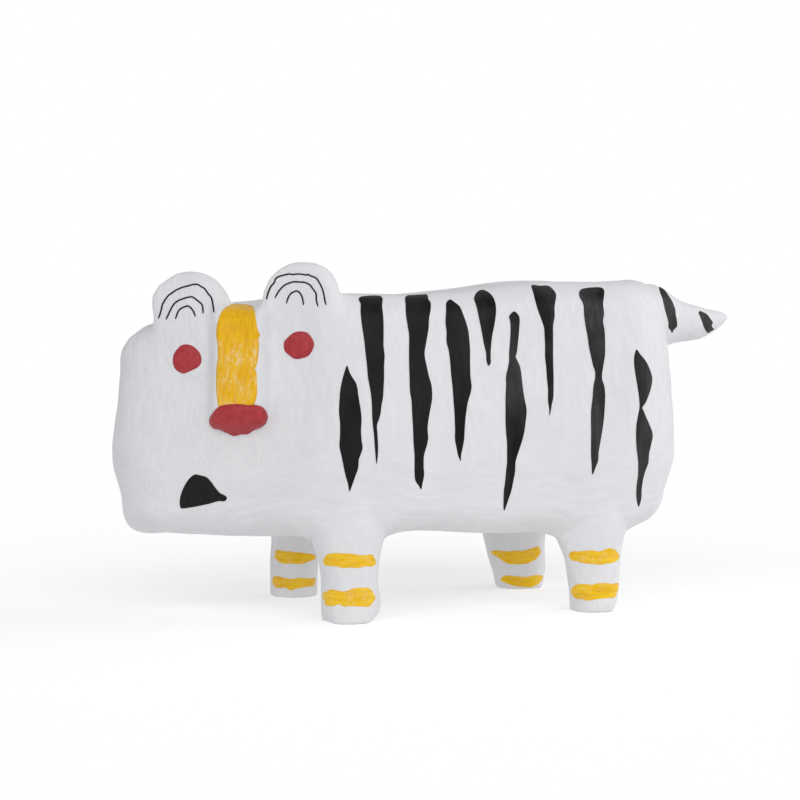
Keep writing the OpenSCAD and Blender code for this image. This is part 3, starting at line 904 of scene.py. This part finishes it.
# Stripes on the photographed flank, down one side and up the other, in px of the photograph
STRIPES = {
    "cheek_leaf": [
        (347, 365.5), (344.5, 372), (342.5, 379), (340.5, 388.5), (339.5, 399.5), (339, 412), (340, 423),
        (340, 435.5), (339.5, 446.5), (341.5, 456), (343.5, 466), (345.5, 475.5), (348, 484), (349.5, 491.5),
        (352.5, 484), (355, 477), (358, 468.5), (359, 459), (361, 453.5), (362.5, 448), (361.5, 439.5),
        (361, 430), (361.5, 422), (361, 412), (359.5, 402.5), (358, 393), (357.5, 388.5), (356, 383),
        (352.5, 377.5), (349.5, 372)],
    "stripe_1": [
        (359.5, 297.5), (358.5, 299.5), (360.5, 303.5), (360.5, 311.5), (361.5, 322.5), (362.5, 329.5),
        (364, 339), (365.5, 353), (367, 366.5), (368, 377.5), (370, 388.5), (371.5, 399.5), (372, 410.5),
        (372.5, 422), (374, 435.5), (375, 449.5), (376.5, 464), (378, 452), (377.5, 435.5), (377, 424.5),
        (378.5, 420.5), (380.5, 413.5), (381.5, 405), (383, 397), (383.5, 387.5), (384, 377.5), (384, 366.5),
        (384.5, 355.5), (383.5, 346), (383.5, 336.5), (383.5, 325.5), (383, 314.5), (382, 306),
        (382.5, 298.5), (381, 296.5)],
    "stripe_2": [
        (405.5, 297), (405.5, 304.5), (406, 315.5), (407.5, 325.5), (409, 335), (409, 346), (409, 361),
        (409.5, 377.5), (410, 391.5), (411.5, 401), (412, 412), (413, 428.5), (413.5, 442.5), (414.5, 456),
        (414.5, 464.5), (414.5, 472.5), (415.5, 481), (419, 486), (421, 489.5), (422.5, 482.5), (424, 475.5),
        (423.5, 464.5), (424, 455), (426, 448), (428, 439.5), (427.5, 428.5), (428.5, 419), (430.5, 408),
        (432, 398.5), (431.5, 386), (428.5, 375), (426.5, 365.5), (425, 358.5), (424.5, 353), (425.5, 346),
        (427, 337.5), (428.5, 328), (429, 318.5), (430.5, 310), (430.5, 302.5), (428, 299), (428, 296.5),
        (424.5, 293), (419.5, 293.5), (412.5, 294.5)],
    "stripe_3": [
        (450, 299.5), (446.5, 302.5), (446, 311.5), (445.5, 322.5), (446.5, 332), (446.5, 342), (448.5, 350),
        (450, 361), (451, 373.5), (452.5, 387.5), (453.5, 401), (454.5, 415), (455, 428.5), (455, 439.5),
        (456.5, 448), (458, 455), (460.5, 461), (461, 455), (462.5, 448), (464, 439.5), (464.5, 430),
        (465.5, 417.5), (466.5, 409.5), (468, 401), (470.5, 393), (471.5, 386.5), (470.5, 377.5), (470, 364),
        (470, 350), (469, 337.5), (468, 329.5), (465.5, 321), (462.5, 313), (459.5, 306.5), (454, 302)],
    "stripe_4": [
        (481.5, 290), (476, 293.5), (474, 299), (475.5, 303.5), (477, 309), (479, 318.5), (481, 328),
        (482.5, 336.5), (484, 344.5), (486, 353), (486.5, 361), (488.5, 366), (490.5, 363), (490.5, 355.5),
        (491, 346), (492, 336.5), (494, 326.5), (495.5, 317), (496, 309), (495, 302), (492.5, 296.5),
        (488.5, 292.5)],
    "stripe_5": [
        (514, 311.5), (509, 316.5), (510, 320.5), (510.5, 330.5), (510, 341), (509, 353.5), (509, 361),
        (508, 367), (506, 376.5), (506, 385.5), (505.5, 396.5), (505.5, 410), (505.5, 422.5), (506, 433),
        (507, 442.5), (507, 453), (507, 462), (506, 471.5), (505, 482), (504, 489.5), (503.5, 499),
        (504, 510.5), (508.5, 499), (511.5, 489.5), (513, 482), (515, 471.5), (515.5, 462), (518, 453),
        (521.5, 442.5), (524, 433), (525.5, 422.5), (526.5, 410), (524, 396.5), (522.5, 385.5),
        (521.5, 376.5), (520, 367), (517.5, 361), (515.5, 356.5), (516.5, 353.5), (518, 341), (519, 330.5),
        (519, 316.5)],
    "stripe_6": [
        (531.5, 285.5), (533, 292), (535, 300), (537.5, 309), (541.5, 320), (544, 327.5), (544.5, 335),
        (545, 346), (545, 356.5), (546, 365.5), (547, 379.5), (548, 390), (548, 401), (549, 408),
        (549.5, 415.5), (551, 409), (552, 403), (553, 399.5), (553.5, 390), (553.5, 379.5), (553, 359.5),
        (553, 353.5), (553, 336.5), (553, 326), (554.5, 316.5), (554.5, 307), (556, 297), (556, 294.5),
        (552.5, 289), (548, 286), (540, 286)],
    "stripe_7": [
        (579, 293), (579.5, 297), (582, 301.5), (583.5, 305.5), (584, 315), (585.5, 326), (587.5, 336.5),
        (589, 347.5), (591, 356.5), (593, 365.5), (595, 372), (595, 378), (593.5, 385.5), (592.5, 398),
        (591, 411.5), (591, 433), (591, 456), (591.5, 463), (592.5, 474.5), (595, 468.5), (598, 460.5),
        (598.5, 453), (600.5, 440.5), (603, 425.5), (604.5, 410), (605, 393.5), (604, 385.5), (602, 379.5),
        (602, 373.5), (603, 367), (604, 361), (605, 353.5), (605, 341), (604.5, 330.5), (603, 321.5),
        (604, 313.5), (603, 304.5), (604, 295.5), (604, 290), (602, 288), (584.5, 288.5), (580.5, 290)],
    "stripe_8": [
        (636.5, 349.5), (634.5, 355), (634, 362.5), (635.5, 375), (637.5, 387), (639, 398), (639.5, 407),
        (638.5, 413), (636.5, 424), (636, 437.5), (636.5, 448.5), (638, 460.5), (638, 474.5), (636.5, 486.5),
        (636.5, 499), (638.5, 506.5), (641, 499), (641.5, 489.5), (643, 479), (645.5, 470), (648, 463.5),
        (649, 453), (651, 444), (652.5, 434.5), (649, 424), (645.5, 416), (643, 410), (642, 408),
        (645.5, 402.5), (648, 396.5), (651, 387), (652, 378), (649.5, 369), (645.5, 361), (639.5, 353.5)],
    "tail_stripe_1": [
        (659, 287), (659.5, 290.5), (661, 295), (662.5, 299), (663.5, 303.5), (664.5, 308), (666, 313.5),
        (667.5, 318.5), (668.5, 323.5), (668.5, 328), (670.5, 330), (672, 333), (673, 330.5), (675, 328.5),
        (677, 326), (677, 323.5), (676.5, 319.5), (675.5, 314.5), (675, 309.5), (673.5, 305), (671.5, 300.5),
        (668.5, 296), (665.5, 291.5), (662, 288)],
    "tail_stripe_2": [
        (699.5, 311), (698.5, 312.5), (700, 316.5), (702, 321.5), (704, 327.5), (706, 331), (707.5, 333),
        (711, 331), (714, 329), (712, 327), (711.5, 325), (712.5, 323.5), (712.5, 322), (710, 318.5),
        (707.5, 315), (704.5, 313), (701, 311.5)],
    "mouth": [
        (180, 499), (183, 489), (189, 479), (195, 474.5), (201, 475.5), (207, 477.5), (212, 483),
        (216, 488.5), (220, 493), (225, 495.5), (227, 498), (225, 501), (219, 501), (210, 503.5),
        (201, 505.5), (190, 507.5), (181, 508), (180, 505)],
}
# Pen lines on the ears
EAR_LINES = {
    "right_ear_line_1": [
        (158.5, 318.5), (160, 314.5), (161.5, 309), (162.5, 304.5), (164.5, 301), (168, 296), (172, 293),
        (175.5, 290.5), (178.5, 289), (182, 287.5), (185.5, 286.5), (189.5, 285.5), (193, 284.5),
        (198, 284.5), (201, 286.5), (204.5, 288.5), (208, 293.5), (211, 297), (212.5, 302), (213.5, 307.5),
        (214, 312.5)],
    "right_ear_line_2": [
        (166, 319.5), (168, 315.5), (170, 311), (173, 305.5), (175, 303), (178.5, 300.5), (182.5, 299),
        (187, 297.5), (192.5, 297), (195.5, 299), (200, 302.5), (202, 304.5), (203, 309), (203, 313.5)],
    "right_ear_line_3": [
        (175.5, 319), (177, 314.5), (178.5, 311), (181, 308.5), (185.5, 306.5), (188, 306), (190.5, 307.5),
        (193, 310.5), (195.5, 316.5)],
    "left_ear_line_1": [
        (266.5, 299.5), (268, 293.5), (271, 286.5), (274, 283), (276.5, 278), (282.5, 275.5), (290.5, 274),
        (292, 274.5), (298.5, 274), (303.5, 274.5), (306.5, 275), (308, 274.5), (311, 276), (316, 278),
        (319, 282), (322, 288), (324, 295), (325, 301), (326, 305)],
    "left_ear_line_2": [
        (275, 298), (278, 292.5), (281.5, 288), (285, 285), (293, 282), (298.5, 282), (305, 282.5),
        (310, 285), (313, 289), (316, 293.5), (316.5, 300.5), (318, 306.5)],
    "left_ear_line_3": [
        (286.5, 303.5), (288, 298.5), (290.5, 294), (293.5, 292), (296.5, 291), (299, 292), (301.5, 295.5),
        (303, 300.5), (303.5, 305)],
}
# The pen's width, its share at the ends of a line, and how fast that grows from point to point
PEN_PX = 1.5
PEN_END = 0.55
PEN_GROWTH = 0.25
# Bands across the legs
BANDS = {
    "front_right_upper": [
        (275.5, 551), (277, 549.5), (281, 550.5), (286, 551.5), (290, 551), (292.5, 552), (300, 552.5),
        (307, 553.5), (312, 554), (316, 556.5), (315, 559), (310, 561), (305, 563), (300, 564), (292, 563.5),
        (283.5, 563.5), (279, 561.5), (276.5, 559), (274, 557.5), (275.5, 555)],
    "front_right_lower": [
        (273.5, 577), (275, 576), (281, 577), (285, 578), (292.5, 579), (297, 578), (304, 578), (310, 578.5),
        (315, 578), (315, 582.5), (314, 585.5), (308.5, 586.5), (302.5, 587.5), (295, 589), (291.5, 590.5),
        (288.5, 589.5), (285.5, 587.5), (280.5, 588), (275, 587), (273.5, 584.5), (272.5, 581)],
    "front_left_upper": [
        (323.5, 560), (325, 557), (327.5, 554.5), (331.5, 553.5), (337, 553), (345.5, 553.5), (353.5, 554),
        (359.5, 555), (366, 555), (371.5, 554.5), (374, 557), (375.5, 561.5), (375, 564.5), (371.5, 566.5),
        (366.5, 566), (362.5, 567), (357, 568), (350, 567.5), (343, 568), (338.5, 567), (334, 566),
        (329, 566), (324.5, 564.5)],
    "front_left_lower": [
        (322.5, 595.5), (323.5, 592.5), (326, 591.5), (328, 591), (330, 589.5), (337, 590.5), (344, 591.5),
        (348.5, 590.5), (352.5, 588.5), (358, 588), (363, 587.5), (369, 588), (372, 591), (374, 595),
        (375.5, 598), (373.5, 601), (371.5, 604), (369, 606.5), (362.5, 606.5), (351, 606), (344, 606.5),
        (341, 605), (339.5, 604), (337, 605), (331, 606), (326.5, 605.5), (324.5, 603.5), (325.5, 602),
        (324, 600)],
    "rear_right_upper": [
        (491, 551.5), (495.5, 550.5), (503, 551), (509, 551.5), (515.5, 550.5), (522, 551), (528, 549.5),
        (533, 548), (538, 546.5), (540, 549.5), (541, 552), (538.5, 556), (535.5, 559.5), (531, 561.5),
        (527.5, 563.5), (521, 564), (509.5, 564), (504, 561.5), (499.5, 558.5), (495.5, 556), (492, 553.5)],
    "rear_right_lower": [
        (500.5, 579.5), (503, 576.5), (506.5, 575.5), (514.5, 576), (526, 577), (531, 576), (537, 575),
        (543, 576), (541.5, 580), (538.5, 583.5), (535.5, 585.5), (530, 587), (520, 586.5), (513.5, 585.5),
        (507.5, 583.5), (503, 581.5)],
    "rear_left_upper": [
        (569, 554.5), (571, 552), (573.5, 551), (576, 551.5), (587, 550.5), (593.5, 550.5), (598.5, 551.5),
        (602.5, 550.5), (606, 549), (609, 548), (613.5, 549), (617, 552), (619.5, 557), (617, 560.5),
        (611.5, 563), (606.5, 563.5), (602.5, 564.5), (592, 564), (583, 563), (577, 561), (571.5, 560),
        (570, 557)],
    "rear_left_lower": [
        (571, 591), (572.5, 587.5), (575.5, 585), (580.5, 584), (587, 584), (591.5, 585), (596.5, 583.5),
        (601.5, 583), (606.5, 583), (611.5, 584), (618, 583), (618.5, 588), (616.5, 593), (615, 597),
        (606.5, 598), (601.5, 598.5), (594.5, 599.5), (590.5, 600.5), (586, 600.5), (582, 599), (576, 598.5),
        (573, 595.5)],
}
# Raised pads of the face: (height at the edge, rise from there, width of the rise in px), and outlines
BRIDGE_DOME = (0.2 * MM, 0.5 * MM, 5)
NOSE_DOME = (0.5 * MM, 2.8 * MM, 12)
EYE_DOME = (0.3 * MM, 0.9 * MM, 8)
BRIDGE = [
    (217, 327), (219, 318), (221, 313), (224.5, 308.5), (230.5, 305), (237, 304), (245, 304.5), (252, 306),
    (253.5, 307.5), (255.5, 316), (256.5, 324), (258, 330.5), (260, 335), (258.5, 338), (259, 345),
    (258, 356), (257, 364), (255, 368.5), (256.5, 373.5), (257, 387), (257, 393), (255.5, 401), (253.5, 405),
    (238, 406), (223, 407), (219, 407), (217.5, 400), (216.5, 391), (216.5, 372), (218, 356), (217.5, 343),
    (216.5, 335)]
NOSE = [
    (209.5, 420.5), (210, 424), (214, 428.5), (219, 429.5), (227, 433), (234.5, 436), (240, 434.5),
    (248, 434), (253.5, 430.5), (263, 426), (266, 422.5), (267.5, 417), (266, 412), (262, 407), (255.5, 405),
    (248, 405), (241, 404), (232.5, 404), (224, 405), (218, 407.5), (213.5, 412.5), (210.5, 417.5)]
LEFT_EYE = [
    (284, 346), (284.5, 341.5), (287.5, 338), (292, 334), (296, 332), (302, 331.5), (307.5, 333),
    (311.5, 337.5), (313.5, 341.5), (314, 345.5), (312, 351), (308, 356), (303, 358), (297, 359), (293, 358),
    (289, 355), (285, 351)]
RIGHT_EYE = [
    (173, 361), (174, 354.5), (178, 348.5), (181.5, 345.5), (185.5, 344.5), (191.5, 345.5), (197, 349.5),
    (200, 353.5), (201.5, 359.5), (200.5, 364), (197.5, 367.5), (192.5, 370), (187, 372.5), (184, 373.5),
    (179.5, 372), (175.5, 369), (173.5, 364.5)]


def pen_outline(line):
    """The outline of a pen line, with its ends drawn thinner."""
    spine = curve_through(line, False, FINE_OUTLINE_STEP)
    left, right = [], []
    for i, point in enumerate(spine):
        ahead = spine[min(i + 1, len(spine) - 1)] - spine[max(i - 1, 0)]
        side = Vector((-ahead.y, ahead.x)).normalized()
        end_share = min(1, PEN_END + PEN_GROWTH * min(i, len(spine) - 1 - i))
        left.append(point + side * PEN_PX / 2 * end_share)
        right.append(point - side * PEN_PX / 2 * end_share)
    return left + right[::-1]


# Stage: radius of the floor in metres and its sides; the suns, as (turn and elevation in degrees, strength)
FLOOR_R = 6
FLOOR_SIDES = 96
SHEET_DROP = 0.5 * MM
SUNS = {"left": (-40, 30, 0.6), "right": (10, 30, 0.72), "side": (87, 15, 1.05)}
SUN_SPREAD = math.radians(50)
WHITE_LIGHT = (1, 1, 1, 1)
SKY_LIGHT = (0.97, 0.98, 1, 1)
SKY_STRENGTH = 0.46


def disc_object(name, albedo, glow):
    """A flat round matt disc on the floor's plane, with a faint glow."""
    mesh = bpy.data.meshes.new(name)
    disc = bmesh.new()
    bmesh.ops.create_circle(disc, cap_ends=True, segments=FLOOR_SIDES, radius=FLOOR_R)
    disc.to_mesh(mesh)
    disc.free()
    paint = Paint(name, roughness=0.9)
    paint.put(paint.main, {"Base Color": (albedo, albedo, albedo, 1)})
    paint.put(paint.main, {"Emission Color": WHITE_LIGHT, "Emission Strength": glow})
    mesh.materials.append(paint.material)
    piece = bare_object(name, mesh)
    return piece


def make_stage():
    """A plain pale floor, and just under it the sheet that sends light back up."""
    floor = disc_object("floor", albedo=0.85, glow=0.36)
    floor.visible_diffuse = False
    sheet = disc_object("sheet", albedo=0.92, glow=0.28)
    sheet.location.z = -SHEET_DROP
    sheet.visible_camera = False
    sheet.visible_glossy = False


def soft_sun(name, turn, elevation, strength):
    """A distant soft light, turned from straight before the flank towards the tail; angles in degrees."""
    data = bpy.data.lights.new(name, "SUN")
    data.energy = strength
    data.angle = SUN_SPREAD
    light = bare_object(name, data)
    tilt = math.radians(elevation)
    towards = Vector((math.sin(math.radians(turn)), -math.cos(math.radians(turn)), 0))
    back = towards * math.cos(tilt) + Vector((0, 0, math.sin(tilt)))
    light.rotation_mode = "QUATERNION"
    light.rotation_quaternion = back.to_track_quat("Z", "Y")


def make_light():
    """A white backdrop for the camera, a softer sky for everything else, and three soft suns."""
    scene = bpy.context.scene
    scene.view_settings.view_transform = "Standard"
    scene.world = bpy.data.worlds.new("world")
    scene.world.use_nodes = True
    tree = scene.world.node_tree
    backdrop = tree.nodes["Background"]
    backdrop.inputs["Color"].default_value = WHITE_LIGHT
    backdrop.inputs["Strength"].default_value = 1.0
    sky = tree.nodes.new("ShaderNodeBackground")
    sky.inputs["Color"].default_value = SKY_LIGHT
    sky.inputs["Strength"].default_value = SKY_STRENGTH
    path = tree.nodes.new("ShaderNodeLightPath")
    mix = tree.nodes.new("ShaderNodeMixShader")
    tree.links.new(path.outputs["Is Camera Ray"], mix.inputs["Fac"])
    tree.links.new(sky.outputs["Background"], mix.inputs[1])
    tree.links.new(backdrop.outputs["Background"], mix.inputs[2])
    tree.links.new(mix.outputs["Shader"], tree.nodes["World Output"].inputs["Surface"])
    for name, sun in SUNS.items():
        soft_sun(name, *sun)


def make_skin_pieces(form):
    """Cuts the skin into body, legs, ears and tail, each in place of its CAD nodes."""
    regions = {leg + "_leg": near_leg(leg) for leg in LEGS}
    regions.update({ear: on_ear(ear, height) for ear, height in EAR_CUT_Z.items()})
    regions["tail"] = lambda p: p.x > TAIL_CUT_X
    faces = {name: [] for name in regions}
    faces["body"] = []
    for face in form.faces:
        middle = face.calc_center_median()
        home = next((name for name, holds in regions.items() if holds(middle)), "body")
        faces[home].append(face)
    for name, chosen in faces.items():
        piece = dress(closed_piece(name, form, chosen), WHITE)
        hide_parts(name + "_skin")
        if name.endswith("_leg"):
            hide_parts(name.removesuffix("_leg") + "_sole")


def seen_on(node):
    return lambda px, py: skin.seen_on(node, px, py)


def behind(node, plane_y, new_x, drop, start_y):
    """Lays what the photograph shows on a node on the side away from it.

    A sight line gives the place on an upright plane along the body, where new_x(x) and drop move it."""
    def place(px, py):
        direction = sight(px, py)
        spot = CAMERA_AT + direction * ((plane_y - CAMERA_AT.y) / direction.y)
        start = Vector((new_x(spot.x), start_y, spot.z - drop))
        return skin.hit_on(node, start, Vector((0, -1, 0)))
    return place


def make_stripes():
    """Stripes and mouth, and the stripes' like on the flank that the photograph hides."""
    flank_y = boxes["body_skin"][0].y
    flank = behind("body_skin", flank_y, lambda x: 2 * FAR_MIDDLE_X - x, FAR_DROP, FAR_START_Y)
    tail = behind("tail_skin", 0, lambda x: x, FAR_TAIL_DROP, FAR_START_Y)
    for name, outline in STRIPES.items():
        loop = curve_through(outline, True, OUTLINE_STEP)
        on_tail = name.startswith("tail")
        node = "tail_skin" if on_tail else "body_skin"
        step = TAIL_STRIPE_STEP if on_tail else STRIPE_STEP
        painted(name, loop, seen_on(node), step, BLACK)
        if name != "mouth":
            painted("far_" + name, loop, tail if on_tail else flank, step, BLACK)


def make_ear_lines():
    for name, line in EAR_LINES.items():
        node = name[:name.index("_line")] + "_skin"
        painted(name, pen_outline(line), seen_on(node), STRIPE_STEP, BLACK)


def make_bands():
    """Bands on the side of each leg that the photograph shows, and their like behind."""
    for name, outline in BANDS.items():
        loop = curve_through(outline, True, OUTLINE_STEP)
        node = name.rsplit("_", 1)[0] + "_leg_skin"
        painted(name + "_band", loop, seen_on(node), BAND_STEP, BAND_YELLOW)
        low, high = boxes[node]
        middle = (low + high) / 2
        turned = lambda x: middle.x + FAR_BAND_SHIFT + FAR_BAND_SHARE * (middle.x - x)
        far_side = behind(node, middle.y, turned, 0, high.y + 2 * ROOM)
        painted("far_" + name + "_band", loop, far_side, BAND_STEP, BAND_YELLOW)


def make_pads():
    """Bridge, nose and eyes, raised on the face."""
    bridge = pad("bridge", BRIDGE, BRIDGE_DOME, BRIDGE_YELLOW)
    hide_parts("nose_bridge")
    nose = pad("nose_pad", NOSE, NOSE_DOME, RED)
    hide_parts("nose")
    for side, outline in (("left", LEFT_EYE), ("right", RIGHT_EYE)):
        eye = pad(side + "_eye_disc", outline, EYE_DOME, RED)
        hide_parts(side + "_eye")


def finish_inner_nodes():
    """Materials of the CAD nodes: newspaper, card and wire inside, and white for the outer ones."""
    paper, board, steel = newsprint(), card(), wire()
    for name, node_object in nodes.items():
        if name.endswith(("_core", "_roll")):
            chosen = paper
        elif name.endswith("_card"):
            chosen = board
        elif name.endswith(("_wire", "_lashing")):
            chosen = steel
        else:
            chosen = WHITE
        node_object.data.materials.clear()
        node_object.data.materials.append(chosen)


make_camera()
WHITE = white_paint()
BLACK = black_paint()
RED = red_paint()
BRIDGE_YELLOW = yellow_paint(
    "bridge_yellow", (0.79, 0.385, 0.001), (0.9, 0.525, 0.006), (900, 900, 90), 0.9, BRIDGE_WEAR)
BAND_YELLOW = yellow_paint("band_yellow", (0.82, 0.43, 0.001), (0.94, 0.61, 0.008), (110, 110, 900), 0.25)

skin_points, skin_polygons, skin_normals = make_skin()
skin = Skin(skin_points, skin_polygons, skin_normals)
make_skin_pieces(cut_skin(skin_points, skin_polygons))
make_stripes()
make_ear_lines()
make_bands()
make_pads()
finish_inner_nodes()
make_stage()
make_light()
